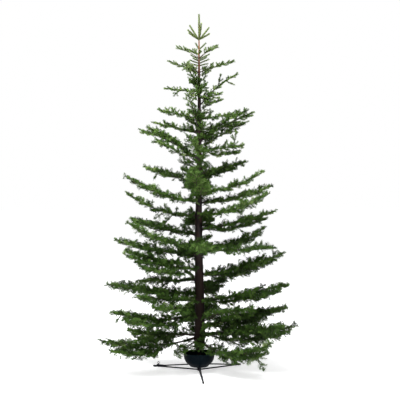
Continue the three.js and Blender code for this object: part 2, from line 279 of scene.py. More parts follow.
class Finish:
    """A procedural material that is built up a node at a time."""

    def __init__(self, name, base, roughness, metallic=0.0, specular=0.5):
        self.material = bpy.data.materials.new(name)
        self.material.use_nodes = True
        self.tree = self.material.node_tree
        self.shader = self.tree.nodes["Principled BSDF"]
        self.shader.inputs["Base Color"].default_value = (*base, 1)
        self.shader.inputs["Roughness"].default_value = roughness
        self.shader.inputs["Metallic"].default_value = metallic
        self.shader.inputs["Specular IOR Level"].default_value = specular
        self.material.diffuse_color = (*base, 1)

    def node(self, kind, **inputs):
        node = self.tree.nodes.new(kind)
        for name, value in inputs.items():
            socket = node.inputs[name.replace("_", " ")]
            if isinstance(value, bpy.types.NodeSocket):
                self.tree.links.new(value, socket)
            else:
                socket.default_value = value
        return node

    def place(self, scale=(1, 1, 1)):
        """Object coordinates, stretched."""
        here = self.tree.nodes.new("ShaderNodeTexCoord").outputs["Object"]
        return self.node("ShaderNodeMapping", Vector=here, Scale=scale).outputs["Vector"]

    def noise(self, scale, detail=4, stretch=(1, 1, 1), roughness=0.55):
        return self.node(
            "ShaderNodeTexNoise", Vector=self.place(stretch), Scale=scale, Detail=detail, Roughness=roughness
        ).outputs["Fac"]

    def cells(self, scale, stretch=(1, 1, 1)):
        return self.node("ShaderNodeTexVoronoi", Vector=self.place(stretch), Scale=scale).outputs["Distance"]

    def band(self, value, start, end):
        """0 where the value is under start, 1 where it is over end."""
        node = self.node("ShaderNodeMapRange", Value=value, From_Min=start, From_Max=end)
        node.interpolation_type = "SMOOTHSTEP"
        return node.outputs["Result"]

    def mix(self, amount, first, second):
        node = self.tree.nodes.new("ShaderNodeMix")
        node.data_type = "RGBA"
        for socket, value in zip((node.inputs[0], node.inputs[6], node.inputs[7]), (amount, first, second)):
            if isinstance(value, bpy.types.NodeSocket):
                self.tree.links.new(value, socket)
            else:
                socket.default_value = (*value, 1)
        return node.outputs[2]

    def paint(self, socket):
        self.tree.links.new(socket, self.shader.inputs["Base Color"])

    def roughen(self, value, low, high):
        node = self.node("ShaderNodeMapRange", Value=value, To_Min=low, To_Max=high)
        self.tree.links.new(node.outputs["Result"], self.shader.inputs["Roughness"])

    def bump(self, height, depth, strength=0.5):
        node = self.node("ShaderNodeBump", Height=height, Distance=depth, Strength=strength)
        self.tree.links.new(node.outputs["Normal"], self.shader.inputs["Normal"])


def darker(base, amount):
    return [amount * part for part in base]


def height_of(finish):
    """The height of a point on a piece, in metres."""
    here = finish.tree.nodes.new("ShaderNodeTexCoord").outputs["Object"]
    return finish.node("ShaderNodeSeparateXYZ", Vector=here).outputs["Z"]


def bark_finish(settings):
    finish = Finish("trunk_bark", settings.brown, 0.8, specular=0.1)
    plates = finish.noise(34, detail=6, stretch=(1, 1, 0.3))
    broad = finish.noise(7, detail=3, stretch=(1, 1, 0.35))
    base = finish.mix(finish.band(plates, 0.38, 0.62), settings.dark, settings.brown)
    skin = finish.mix(finish.band(broad, 0.47, 0.67), base, settings.grey)
    specks = finish.cells(95, stretch=(1, 1, 0.6))
    marked = finish.mix(finish.band(specks, 0.1, 0.05), skin, settings.speck)
    high = height_of(finish)
    # Painted shade: below 0.15 of the tree's height the bark is a quarter of its brown, under the crown,
    # fading to its own colours by half the height.
    lit = finish.mix(finish.band(high, 0.15 * HEIGHT, 0.5 * HEIGHT), darker(settings.brown, 0.25), marked)
    finish.paint(finish.mix(finish.band(high, 0.8 * HEIGHT, 0.93 * HEIGHT), lit, settings.shoot))
    finish.roughen(plates, 0.6, 0.95)
    finish.bump(finish.noise(120, detail=6, stretch=(1, 1, 0.35)), 0.0014, 0.7)
    return finish.material


def sawn_finish(settings):
    finish = Finish("sawn_end", settings.wood, 0.75, specular=0.3)
    rings = finish.node("ShaderNodeTexWave", Vector=finish.place(), Scale=55, Distortion=2.5, Detail=2)
    rings.wave_type = "RINGS"
    rings.rings_direction = "Z"
    finish.paint(finish.mix(rings.outputs["Fac"], settings.wood, darker(settings.wood, 0.6)))
    finish.bump(finish.noise(300), 0.0004, 0.5)
    return finish.material


def twig_finish(name, base):
    finish = Finish(name, base, 0.75, specular=0.3)
    grain = finish.noise(160, detail=4)
    finish.paint(finish.mix(finish.band(grain, 0.35, 0.65), darker(base, 0.55), base))
    finish.bump(finish.noise(420), 0.0006, 0.6)
    return finish.material


def needle_finish(name, base):
    return Finish(name, base, 0.6, specular=0.12).material


def enamel_finish(settings):
    finish = Finish("bowl_paint", settings.enamel, 0.35, specular=0.03)
    dust = finish.noise(26, detail=5)
    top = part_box("bowl")[1][2]
    # Painted highlight: the top 6 mm of the bowl, its rolled rim, takes the paler paint as if it caught the
    # light.
    rim = finish.band(height_of(finish), top - 0.006, top)
    base = finish.mix(finish.band(dust, 0.55, 0.85), settings.enamel, settings.enamel_dust_and_rim_highlight)
    finish.paint(finish.mix(rim, base, settings.enamel_dust_and_rim_highlight))
    finish.roughen(dust, 0.3, 0.5)
    finish.bump(finish.noise(240, detail=2), 0.0003, 0.35)
    return finish.material


def rod_finish(settings):
    finish = Finish("rod_paint", settings.paint, 0.4, specular=0.12)
    scuffs = finish.noise(90, detail=5)
    finish.paint(finish.mix(finish.band(scuffs, 0.55, 0.75), settings.paint, settings.scuffed))
    finish.roughen(scuffs, 0.3, 0.55)
    finish.bump(finish.noise(500, detail=2), 0.0002, 0.4)
    return finish.material


def rubber_finish(settings):
    finish = Finish("foot_rubber", settings.rubber, 0.8, specular=0.3)
    finish.bump(finish.noise(600, detail=2), 0.0002, 0.5)
    return finish.material


def zinc_finish(settings):
    finish = Finish("screw_plating", settings.zinc, 0.42, metallic=0.8)
    tarnish = finish.noise(180, detail=4)
    finish.paint(finish.mix(finish.band(tarnish, 0.4, 0.7), settings.zinc, darker(settings.zinc, 0.5)))
    finish.roughen(tarnish, 0.32, 0.6)
    finish.bump(finish.noise(700, detail=2), 0.0001, 0.4)
    return finish.material


def floor_finish(settings):
    finish = Finish("studio_floor", settings.floor, 0.9, specular=0.1)
    finish.shader.inputs["Emission Color"].default_value = (1, 1, 1, 1)
    finish.shader.inputs["Emission Strength"].default_value = settings.glow
    return finish.material


# ---- making pieces ----------------------------------------------------------------------------------------


def finish_piece(mesh, name, nodes, materials):
    """Puts a mesh into the scene as a piece of the tree that stands for those nodes of the frame."""
    mesh.name = name
    for material in materials:
        mesh.materials.append(material)
    piece = bpy.data.objects.new(name, mesh)
    bpy.context.scene.collection.objects.link(piece)
    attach(piece, "root")
    if nodes:
        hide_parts(*nodes)
    return piece


def mesh_from_bmesh(bm, name, smooth=True):
    bmesh.ops.recalc_face_normals(bm, faces=bm.faces)
    mesh = bpy.data.meshes.new(name)
    bm.to_mesh(mesh)
    bm.free()
    if smooth:
        mesh.shade_smooth()
    return mesh


def mesh_from_arrays(name, points, faces, smooth=True):
    """A mesh of many small things from arrays of points and of faces that have the same number of corners."""
    mesh = bpy.data.meshes.new(name)
    mesh.vertices.add(len(points))
    mesh.vertices.foreach_set("co", np.ascontiguousarray(points, dtype=np.float32).ravel())
    mesh.loops.add(faces.size)
    mesh.loops.foreach_set("vertex_index", np.ascontiguousarray(faces, dtype=np.int32).ravel())
    mesh.polygons.add(len(faces))
    mesh.polygons.foreach_set("loop_start", np.arange(0, faces.size, faces.shape[1], dtype=np.int32))
    mesh.update(calc_edges=True)
    if smooth:
        mesh.shade_smooth()
    return mesh


def spun(bm, profile, steps):
    """Spins an open profile of (radius, height) points about the Z axis."""
    corners = [bm.verts.new((radius, 0, height)) for radius, height in profile]
    edges = [bm.edges.new(pair) for pair in zip(corners, corners[1:])]
    about = {"axis": (0, 0, 1), "cent": (0, 0, 0), "angle": 2 * math.pi}
    bmesh.ops.spin(bm, geom=corners + edges, steps=steps, use_merge=True, **about)
    bmesh.ops.remove_doubles(bm, verts=bm.verts, dist=1e-6)


def extruded(bm, sides, steps, place):
    """A closed round rod: a disc extruded ring by ring and closed at the end.

    place(step, corner) says where a corner of the unit disc goes on each ring.
    """
    ring = bmesh.ops.create_circle(bm, cap_ends=True, radius=1, segments=sides)["verts"]
    corners = [vert.co.copy() for vert in ring]
    edges = list({edge for vert in ring for edge in vert.link_edges})
    for step in range(steps):
        if step:
            fresh = bmesh.ops.extrude_edge_only(bm, edges=edges)["geom"]
            new = {item for item in fresh if isinstance(item, bmesh.types.BMVert)}
            pulled = (edge.other_vert(vert) for vert in ring for edge in vert.link_edges)
            ring = [vert for vert in pulled if vert in new]
            edges = {edge for vert in ring for edge in vert.link_edges}
            edges = [edge for edge in edges if new.issuperset(edge.verts)]
        for vert, corner in zip(ring, corners):
            vert.co = place(step, corner)
    bmesh.ops.contextual_create(bm, geom=ring)


def swept(bm, path, radii, sides):
    """A closed round rod along a path."""
    path = [Vector(point) for point in path]
    ways = [after - before for before, after in zip(path[:1] + path, path[1:] + path[-1:])]
    turns = [way.to_track_quat("Z", "Y").to_matrix() for way in ways]
    extruded(bm, sides, len(path), lambda step, corner: path[step] + turns[step] @ (corner * radii[step]))


# ---- reading the frame ------------------------------------------------------------------------------------


def node_points(name):
    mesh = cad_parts[name].data
    points = np.empty(len(mesh.vertices) * 3)
    mesh.vertices.foreach_get("co", points)
    return points.reshape(-1, 3)


def rings_along(values, gap):
    """Groups values that lie closer together than a gap, as lists of indices in rising order."""
    order = np.argsort(values)
    breaks = np.nonzero(np.diff(values[order]) > gap)[0] + 1
    return np.split(order, breaks)


@functools.cache
def trunk_line():
    """Heights, middles and radii of the trunk's rings in the frame."""
    points = node_points("trunk")
    outer = points[np.hypot(points[:, 0], points[:, 1]) > STEM_CORE * (1 - points[:, 2] / HEIGHT)]
    heights, middles, radii = [], [], []
    for ring in rings_along(outer[:, 2], 0.02):
        here = outer[ring]
        middle = (here.max(axis=0) + here.min(axis=0)) / 2
        heights.append(here[:, 2].mean())
        middles.append(middle[:2])
        radii.append(np.hypot(*(here[:, :2] - middle[:2]).T).max())
    return np.array(heights), np.array(middles), np.array(radii)


def trunk_radius(height):
    heights, _, radii = trunk_line()
    return float(np.interp(height, heights, radii))


def trunk_middle(height):
    heights, middles, _ = trunk_line()
    return np.array([*(np.interp(height, heights, middles[:, axis]) for axis in (0, 1)), height])


def level_way(heading):
    return np.array([math.cos(heading), math.sin(heading), 0])


class Bough:
    """A limb of the crown, read from the mass that stands for it: its heading, its line and its fan."""

    def __init__(self, name):
        points = node_points(name)
        distance = np.hypot(points[:, 0], points[:, 1])
        end = points[distance > distance.max() - 0.004].mean(axis=0)
        self.heading = math.atan2(end[1], end[0])
        self.side = level_way(self.heading - math.pi / 2)
        along = points @ level_way(self.heading)
        across = points @ self.side
        rings = rings_along(along, RING_GAP)
        self.stations = np.array([along[ring].mean() for ring in rings])
        low = np.array([points[ring, 2].min() for ring in rings])
        high = np.array([points[ring, 2].max() for ring in rings])
        self.right = np.array([across[ring].max() for ring in rings])
        self.left = np.array([-across[ring].min() for ring in rings])
        self.depth = high - low
        self.line = np.polyfit(self.stations, low + MIDDLE_SHARE * self.depth, 2)
        self.start, self.reach = self.stations[0], self.stations[-1]
        self.name = name
        self.main = True
        self.offset = 0.0
        self.swing = 0.0
        self.share = 1.0
        self.size = 1.0

    def side_limb(self, offset, swing, shorter):
        """A limb that leaves this one near the trunk and keeps to its own height and heading."""
        limb = copy.copy(self)
        limb.main = False
        limb.offset = offset
        limb.swing = swing
        limb.side = level_way(self.heading + swing - math.pi / 2)
        limb.reach = self.reach * (1 - shorter)
        limb.share = NARROWER
        limb.size = SIDE_LIMB_SIZE
        return limb

    def outward(self, along):
        """0 at the start of the limb's foliage, 1 at its tip."""
        return (along - self.start) / (self.reach - self.start)

    def ease(self, along):
        """0 where a side limb leaves the main one, 1 where it has reached its own line."""
        return float(np.clip((along - self.start) / (FORK * self.reach), 0, 1))

    def height(self, along):
        return float(np.polyval(self.line, along)) + self.offset * self.ease(along)

    def at(self, along):
        place = level_way(self.heading + self.swing * self.ease(along)) * along
        place[2] = self.height(along)
        return place

    def ahead(self, along):
        way = self.at(along + 0.005) - self.at(along - 0.005)
        return way / np.linalg.norm(way)

    def width(self, along, to_right):
        sides = self.right if to_right else self.left
        return float(np.interp(along, self.stations, sides)) * self.share

    def thickness(self, along):
        return float(np.interp(along, self.stations, self.depth))


@functools.cache
def boughs():
    """Every limb of the crown. The deeper a mass is, the more side limbs it has, above and below."""
    rng = np.random.default_rng(FAN_SEED)
    limbs = []
    for name in sorted(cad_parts):
        if not name.startswith(("left_bough", "right_bough", "front_foliage", "back_foliage")):
            continue
        main = Bough(name)
        limbs.append(main)
        depth = main.depth.max()
        layer = FRONT_LAYER if name.startswith("front") else LAYER
        sides = max(0, int((depth - THIN) / layer))
        for number in range(sides):
            offset = depth * np.interp(number / max(sides - 1, 1), [0, 1], OFFSETS)
            swing = math.radians(rng.uniform(*SWINGS)) * (-1) ** number
            limbs.append(main.side_limb(offset, swing, rng.uniform(*SHORTER)))
    return limbs


@functools.cache
def whorl_shoots():
    """The node, the base and the tip of every shoot of the two whorls at the top."""
    shoots = []
    for name in ("leader_shoot", "second_whorl"):
        points = node_points(name)
        middle = trunk_middle(points[:, 2].min())
        away = points - middle
        distance = np.hypot(away[:, 0], away[:, 1])
        far = np.nonzero(distance > 0.035)[0]
        angles = np.arctan2(away[far, 1], away[far, 0])
        for ring in rings_along(angles, 0.2):
            tip = points[far[ring]].mean(axis=0)
            base = middle + (tip - middle) * np.array([0.05, 0.05, 0])
            base[2] = points[:, 2].min() + 0.012
            shoots.append((name, base, tip))
    return shoots


# ---- growth -----------------------------------------------------------------------------------------------

# The columns of a shoot's numbers.
START, MIDDLE, END = slice(0, 3), slice(3, 6), slice(6, 9)
UP = slice(9, 12)
THICK, BARE, TONE, YOUTH, DENSITY = range(12, 17)


class Growth:
    """What has grown so far: limbs as lines of points with radii, and shoots as rows of numbers."""

    def __init__(self):
        self.limbs = []
        self.clothed = []
        self.branchlets = []
        self.twigs = []

    def shoot(self, kind, base, way, size, lift, up, thick, tone, bare=0.0):
        """Adds a shoot that sets out one way and bends up by lift at its tip. Returns its row."""
        tip = base + way * size + np.array([0, 0, lift])
        numbers = [thick, bare, tone, youth(base[2]), 1.0]
        row = np.concatenate([base, base + 0.5 * way * size, tip, up, numbers])
        kind.append(row)
        return row


def unit(vector):
    return vector / np.linalg.norm(vector)


def youth(height):
    """0 in the lower crown and 1 at the top, where the shoots are slim and stand apart."""
    return float(np.clip((height / HEIGHT - YOUNG[0]) / (YOUNG[1] - YOUNG[0]), 0, 1))


def blend(pair, amount):
    return pair[0] + (pair[1] - pair[0]) * amount


def degrees(rng, pair):
    return math.radians(rng.uniform(*pair))


def over(way):
    """The direction across a way that is nearest to straight up."""
    return unit(np.cross(np.cross(way, [0, 0, 1]), way))


def curve_at(row, t):
    return (1 - t) ** 2 * row[START] + 2 * t * (1 - t) * row[MIDDLE] + t * t * row[END]


def curve_way(row, t):
    return unit((1 - t) * (row[MIDDLE] - row[START]) + t * (row[END] - row[MIDDLE]))


def room(bough, along, angle, to_right):
    """How long a branchlet can be before it leaves the fan."""
    sizes = np.arange(0.02, 0.5, 0.01)
    for size in sizes:
        there = along + size * math.cos(angle)
        if there > bough.reach or size * math.sin(angle) > bough.width(there, to_right):
            return size
    return sizes[-1]


def tone_of(height, outward, rng):
    """Which of the needle colours a spray takes, from 0 for the darkest to 5 for the palest."""
    # The tone rises with height and reach: partly younger, paler growth, and partly painted light that shades
    # the inner and lower sprays and lights the upper crown.
    tone = OLDEST_SHADED_TONE + TONE_BY_HEIGHT * (height / HEIGHT) ** 2.5 + TONE_BY_REACH * outward
    return tone + rng.normal(0, TONE_SPREAD)


def grow_twigs(growth, row, crown, rng, up, tone, hang=0.0):
    """Twigs in pairs along a branchlet, each a little out of its plane."""
    size = np.linalg.norm(row[END] - row[START])
    young = row[YOUTH]
    at = crown.twig_spacing * rng.uniform(0.5, 1.0) + 0.01
    while at < size - 0.01:
        way = curve_way(row, at / size)
        across = unit(np.cross(way, up))
        base = curve_at(row, at / size)
        longest = min(TWIG_REACH * (1 - 0.35 * young), 0.62 * (size - at) + 0.018)
        for turn in (-1, 1):
            if rng.random() < GAPS:
                continue
            angle = degrees(rng, TWIG_ANGLES)
            tilt = rng.normal(0.05, TWIG_TILT) - hang * (rng.random() < 0.3)
            direction = unit(way * math.cos(angle) + across * turn * math.sin(angle) + up * tilt)
            lift = rng.uniform(0, 0.01)
            reach = longest * rng.uniform(0.65, 1.05)
            twig_tone = tone + rng.normal(0, TONE_SPREAD)
            growth.shoot(growth.twigs, base, direction, reach, lift, up, TWIG_THICK, twig_tone)
        if rng.random() < crown.upright * (1 - 0.5 * young):
            grow_upright(growth, rng, base, way, across, up, 0.75 * longest, tone, hang)
        at += crown.twig_spacing * (1 + 0.25 * young) * rng.uniform(0.8, 1.2)


def grow_upright(growth, rng, base, way, across, up, reach, tone, hang):
    """A twig that stands on the upper side of a shoot, or hangs from its lower side."""
    turn = -1 if rng.random() < 0.2 + 0.4 * hang else 1
    angle = degrees(rng, UPRIGHT_ANGLES)
    aside = turn * up + across * rng.uniform(-0.5, 0.5)
    direction = unit(way * math.cos(angle) + unit(aside) * math.sin(angle))
    size = max(0.02, reach * rng.uniform(0.6, 1.0))
    # Painted light: a twig standing on the upper side is half a tone paler, and a hanging one half a tone
    # darker, as if lit from above.
    growth.shoot(growth.twigs, base, direction, size, 0, across, TWIG_THICK, tone + 0.45 * turn)


def grow_bough(growth, bough, crown, rng):
    """A limb to its tip, with its fan of branchlets. A main limb starts inside the trunk."""
    foot = bough.height(0.0)
    first = 0.6 * trunk_radius(foot) if bough.main else bough.start
    end = bough.reach - LIMB_END
    alongs = np.linspace(first, end, LIMB_POINTS if bough.main else SIDE_LIMB_POINTS)
    sway = np.sin(rng.uniform(0, 2 * math.pi) + alongs * 14) * np.clip((alongs - first) / 0.2, 0, 1)
    line = np.array([bough.at(a) + bough.side * s for a, s in zip(alongs, SWAY * bough.reach * sway)])
    thick = crown.limb * (1 - 0.55 * foot / HEIGHT) * (bough.reach / 0.75) ** 0.5 * bough.size
    left = 1 - (alongs - first) / (end - first)
    radii = thick * left**0.85 + THINNEST_LIMB
    if bough.main:
        radii += 0.7 * thick * np.exp(-(alongs - trunk_radius(foot)) / 0.018).clip(0, 1.2)
    growth.limbs.append((line, radii))
    up = over(bough.ahead(0.6 * bough.reach))
    clothe_limb(growth, bough, line, alongs, radii, up, rng)
    along = bough.start + 0.012 + (0.0 if bough.main else 0.5 * FORK * bough.reach)
    low = 1 - foot / LOW
    while along < end - 0.01:
        outward = bough.outward(along)
        for to_right in (False, True):
            at = along + rng.uniform(-0.007, 0.007)
            grow_branchlet(growth, bough, crown, rng, at, outward, to_right, up, foot)
        if rng.random() < crown.hanging * low and outward > 0.2:
            grow_spray(growth, bough, crown, rng, along, -up, (1.2 - 1.15 * outward) * (1 + low) / 2)
        if rng.random() < crown.standing:
            grow_spray(growth, bough, crown, rng, along, up, 0.5 * (1 - 0.7 * outward))
        along += crown.spacing * (1.1 - 0.35 * outward) * rng.uniform(0.85, 1.15)


def grow_branchlet(growth, bough, crown, rng, along, outward, to_right, up, foot):
    """One side branch of a fan, as long as the fan is wide, with its own twigs."""
    angle = math.radians(blend(BRANCHLET_ANGLES, outward) + rng.uniform(-7, 7))
    inner, outer = SHORTEST_BRANCHLETS
    shortest = max(outer, inner * (1 - outward) * (1 - 0.5 * youth(foot)))
    size = max(room(bough, along, angle, to_right), shortest) * rng.uniform(0.75, 1.0)
    if size < LEAST_SHOOT:
        return
    drift = rng.uniform(*BRANCHLET_DRIFT) * bough.thickness(along) * bough.size
    side = bough.side if to_right else -bough.side
    level = bough.ahead(along) * math.cos(angle) + side * math.sin(angle)
    direction = unit(level + up * 0.8 * drift / max(size, 0.08))
    tone = tone_of(foot, outward, rng)
    lift = rng.uniform(0.0, 0.12) * size
    thick = 0.0016 + 0.008 * size
    row = growth.shoot(growth.branchlets, bough.at(along), direction, size, lift, up, thick, tone, bare=0.03)
    if size > 0.04:
        grow_twigs(growth, row, crown, rng, up, tone, max(0, 1 - foot / LOW))


def grow_spray(growth, bough, crown, rng, along, aside, vigour):
    """A spray that leaves the fan, upward or downward."""
    size = rng.uniform(0.06, 0.15) * vigour
    if size < LEAST_SHOOT:
        return
    sideways = bough.side * rng.uniform(-0.7, 0.7)
    way = unit(bough.ahead(along) * rng.uniform(0.4, 1.0) + sideways + aside * rng.uniform(0.5, 1.1))
    base = bough.at(along)
    if base[2] + size * way[2] < FLOOR_GAP:
        return
    tone = tone_of(base[2], 0.5, rng)
    row = growth.shoot(growth.branchlets, base, way, size, 0.1 * size, over(way), 0.002, tone, bare=0.05)
    grow_twigs(growth, row, crown, rng, over(way), tone)


def grow_lone_spray(growth, crown, rng, bough, start, ahead, turn, size):
    """One of the long sprays that stand out from the crown's outline."""
    along = bough.start + start * (bough.reach - bough.start)
    way = unit(bough.ahead(along) * ahead + np.array([0, 0, turn]))
    base = bough.at(along)
    up = unit(np.cross(bough.side, way))
    tone = tone_of(base[2], 0.7, rng)
    row = growth.shoot(growth.branchlets, base, way, size, -0.1 * size * turn, up, 0.0024, tone)
    grow_twigs(growth, row, crown, rng, up, tone)


def clothe_limb(growth, bough, line, alongs, radii, up, rng):
    """Needles along the limb itself, on the part that is young enough to keep them."""
    for i in range(len(line) - 1):
        outward = bough.outward(alongs[i])
        if outward < 0.1:
            continue
        tone = tone_of(line[i][2], outward, rng)
        middle = (line[i] + line[i + 1]) / 2
        numbers = [radii[i], 0.0, tone, youth(middle[2]), min(1.0, 0.4 + outward)]
        growth.clothed.append(np.concatenate([line[i], middle, line[i + 1], up, numbers]))


def grow_collar(growth, bough, crown, rng):
    """Short shoots from the trunk beside a limb's foot."""
    foot = bough.height(0.0)
    for _ in range(crown.collar_shoots):
        heading = bough.heading + math.radians(rng.uniform(-60, 60))
        height = foot + rng.uniform(-0.03, 0.04)
        grow_trunk_shoot(growth, crown, rng, height, heading, rng.uniform(0.06, 0.13))


def grow_trunk_shoot(growth, crown, rng, height, heading, size):
    way = unit(level_way(heading) + np.array([0, 0, rng.uniform(0.0, 0.5)]))
    base = trunk_middle(height) + way * 0.7 * trunk_radius(height)
    tone = tone_of(height, 0.4, rng)
    row = growth.shoot(growth.branchlets, base, way, size, 0.02, over(way), 0.0022, tone, bare=0.2)
    grow_twigs(growth, row, crown, rng, over(way), tone)


def grow_upper_stem(growth, crown, rng):
    """Small shoots all round the upper stem, between the limbs."""
    height, end = UPPER_STEM[0] * HEIGHT, UPPER_STEM[1] * HEIGHT
    while height < end:
        longest = 0.2 - 0.12 * youth(height)
        grow_trunk_shoot(growth, crown, rng, height, rng.uniform(0, 2 * math.pi), rng.uniform(0.05, longest))
        if rng.random() < 0.65 * (1 - youth(height)) + 0.2:
            facing = rng.choice([-0.5, 0.5]) * math.pi + rng.uniform(-0.7, 0.7)
            size = FACING * (HEIGHT - height) * rng.uniform(0.5, 1)
            grow_trunk_shoot(growth, crown, rng, height, facing, size)
        height += rng.uniform(0.012, 0.045)


def grow_top(growth, crown, rng):
    """The leader, the whorls of young shoots below it and the sprigs between them."""
    points = node_points("leader_shoot")
    base = trunk_middle(points[:, 2].min())
    size = points[:, 2].max() - 0.006 - base[2]
    straight, front = np.array([0, 0, 1.0]), np.array([0, -1.0, 0])
    leader = growth.shoot(growth.branchlets, base, straight, size, 0, front, 0.004, 4.8)
    leader[DENSITY] = crown.leader_density
    for name, start, end in whorl_shoots():
        away = end - start
        if name == "leader_shoot":
            size = np.linalg.norm(away)
            way = away / size
            shoot = growth.shoot(growth.branchlets, start, way, size, 0, over(way), 0.0034, 4.6)
            shoot[DENSITY] = crown.leader_density
            continue
        bow = WHORL_BOW * np.linalg.norm(away)
        away[2] += bow
        size = np.linalg.norm(away)
        up = over(unit(end - start))
        row = growth.shoot(growth.branchlets, start, away / size, size, -bow, up, 0.0028, 4.0, bare=0.35)
        grow_whorl_arm(growth, crown, rng, row, size)
    for height, heading, rise, size in TOP_SPRIGS:
        way = unit(level_way(math.radians(heading)) + np.array([0, 0, math.tan(math.radians(rise))]))
        base = trunk_middle(height * HEIGHT)
        sprig = growth.shoot(growth.branchlets, base, way, size, 0, over(way), 0.003, 4.2)
        sprig[DENSITY] = 0.6 * crown.leader_density


def grow_whorl_arm(growth, crown, rng, row, size):
    """Slim shoots in pairs on the outer part of an arm of the second whorl."""
    at = 0.4 * size
    while at < size - 0.015:
        way = curve_way(row, at / size)
        up = over(way)
        across = unit(np.cross(way, up))
        for turn in (-1, 1):
            angle = math.radians(rng.uniform(38, 54))
            direction = unit(way * math.cos(angle) + unit(across * turn + 0.7 * up) * math.sin(angle))
            reach = min(0.045, 0.6 * (size - at) + 0.015)
            growth.shoot(growth.twigs, curve_at(row, at / size), direction, reach, 0, up, 0.0014, 4.2)
        at += crown.spacing * 0.7


@functools.cache
def grown():
    """The whole crown, grown once."""
    crown = bpy.context.scene.cut_fir.crown
    rng = np.random.default_rng(crown.seed)
    growth = Growth()
    for bough in boughs():
        grow_bough(growth, bough, crown, rng)
        if bough.main:
            grow_collar(growth, bough, crown, rng)
    mains = {bough.name: bough for bough in boughs() if bough.main}
    for name, *numbers in LONE_SPRAYS:
        grow_lone_spray(growth, crown, rng, mains[name], *numbers)
    grow_upper_stem(growth, crown, rng)
    grow_top(growth, crown, rng)
    return growth


# ---- many small things as arrays --------------------------------------------------------------------------


def curves_at(rows, t):
    """Points and directions on many shoots at once, one share t for each."""
    t = t[:, None]
    points = (1 - t) ** 2 * rows[:, START] + 2 * t * (1 - t) * rows[:, MIDDLE] + t * t * rows[:, END]
    ways = (1 - t) * (rows[:, MIDDLE] - rows[:, START]) + t * (rows[:, END] - rows[:, MIDDLE])
    return points, ways / np.linalg.norm(ways, axis=1, keepdims=True)


def cross_frame(ways, ups):
    """Two directions across each way, the second as near as it can be to the up given."""
    across = np.cross(ways, ups)
    across /= np.linalg.norm(across, axis=1, keepdims=True)
    return across, np.cross(across, ways)


def circles(ways, ups, sides):
    """A unit circle of points across each way."""
    across, up = cross_frame(ways, ups)
    angles = (np.arange(sides) * 2 * math.pi / sides)[None, :, None]
    return across[:, None] * np.cos(angles) + up[:, None] * np.sin(angles)


def wall_faces(sides, rings, tip):
    """The triangles between rings of points, and from the last ring to a tip."""
    faces = []
    for side in range(sides):
        after = (side + 1) % sides
        for low in range(0, (rings - 1) * sides, sides):
            high = low + sides
            faces.append((low + side, low + after, high + after))
            faces.append((low + side, high + after, high + side))
        last = (rings - 1) * sides
        faces.append((last + side, last + after, tip))
    return faces


def spikes(rows, sides, steps):
    """Closed tapering twigs for many shoots at once, as points and triangles."""
    points = []
    for step in range(steps):
        middles, ways = curves_at(rows, np.full(len(rows), step / steps))
        radius = (rows[:, THICK] * (1 - 0.6 * step / steps))[:, None, None]
        points.append(middles[:, None] + circles(ways, rows[:, UP], sides) * radius)
    tips, _ = curves_at(rows, np.ones(len(rows)))
    points = np.concatenate(points + [tips[:, None]], axis=1)
    faces = wall_faces(sides, steps, steps * sides) + [(0, side + 1, side) for side in range(1, sides - 1)]
    faces = np.array(faces)[None] + (np.arange(len(rows)) * points.shape[1])[:, None, None]
    return points.reshape(-1, 3), faces.reshape(-1, 3)


def needles(rows, crown, rng):
    """Needles on many shoots at once, each a narrow folded kite: its four points, and its shoot's tone."""
    sizes = np.linalg.norm(rows[:, END] - rows[:, START], axis=1) * (1 - rows[:, BARE])
    density = rows[:, DENSITY] * (1 + (crown.top_density - 1) * rows[:, YOUTH])
    counts = np.maximum(2, np.round(sizes * crown.per_metre * density)).astype(int)
    rows = np.repeat(rows, counts, axis=0)
    total = len(rows)
    first = np.repeat(np.cumsum(counts) - counts, counts)
    rank = (np.arange(total) - first + rng.random(total)) / np.repeat(counts, counts)
    t = rows[:, BARE] + (1 - rows[:, BARE]) * rank
    middles, ways = curves_at(rows, np.clip(t, 0, 1))
    across, up = cross_frame(ways, rows[:, UP])
    young = rows[:, YOUTH]
    turn = np.radians(blend(NEEDLE_SPREADS, young) * rng.uniform(-1, 1, total))
    outward = across * np.sin(turn)[:, None] + up * np.cos(turn)[:, None]
    lean = blend(NEEDLE_LEANS, young) * (0.85 + 0.4 * np.abs(np.sin(turn))) * rng.uniform(0.75, 1.25, total)
    lean = np.radians(lean)[:, None]
    way = ways * np.cos(lean) + outward * np.sin(lean)
    size = crown.needle * (1 - YOUNG_NEEDLE * young) * rng.uniform(0.8, 1.1, total)
    size = (size * (0.75 + 0.25 * np.sin(math.pi * rank)))[:, None]
    base = middles + outward * rows[:, THICK, None] * 0.6
    blade = np.cross(way, outward)
    blade /= np.linalg.norm(blade, axis=1, keepdims=True)
    half = 0.5 * crown.needle_width * blade
    fold = np.cross(blade, way) * 0.25 * crown.needle_width
    waist = base + way * 0.42 * size
    points = np.stack([base, waist + half + fold, base + way * size, waist - half + fold], axis=1)
    return points, rows[:, TONE]


def limb_tube(line, radii, sides, rng):
    """A limb as rings of points with the bark's unevenness, closed at both ends."""
    ways = np.gradient(line, axis=0)
    ways /= np.linalg.norm(ways, axis=1, keepdims=True)
    uneven = 1 + rng.uniform(-0.14, 0.14, (len(line), sides, 1))
    rings = circles(ways, np.tile([0.0, 0.0, 1.0], (len(line), 1)), sides) * radii[:, None, None] * uneven
    points = (line[:, None] + rings).reshape(-1, 3)
    points = np.concatenate([points, line[:1], line[-1:] + ways[-1:] * 0.002])
    first, last = len(points) - 2, len(points) - 1
    faces = wall_faces(sides, len(line), last) + [(first, (side + 1) % sides, side) for side in range(sides)]
    return points, np.array(faces)


def stacked(parts):
    """Joins meshes given as points and faces."""
    offset = 0
    points, faces = [], []
    for these, those in parts:
        points.append(these)
        faces.append(those + offset)
        offset += len(these)
    return np.concatenate(points), np.concatenate(faces)


# ---- operators --------------------------------------------------------------------------------------------


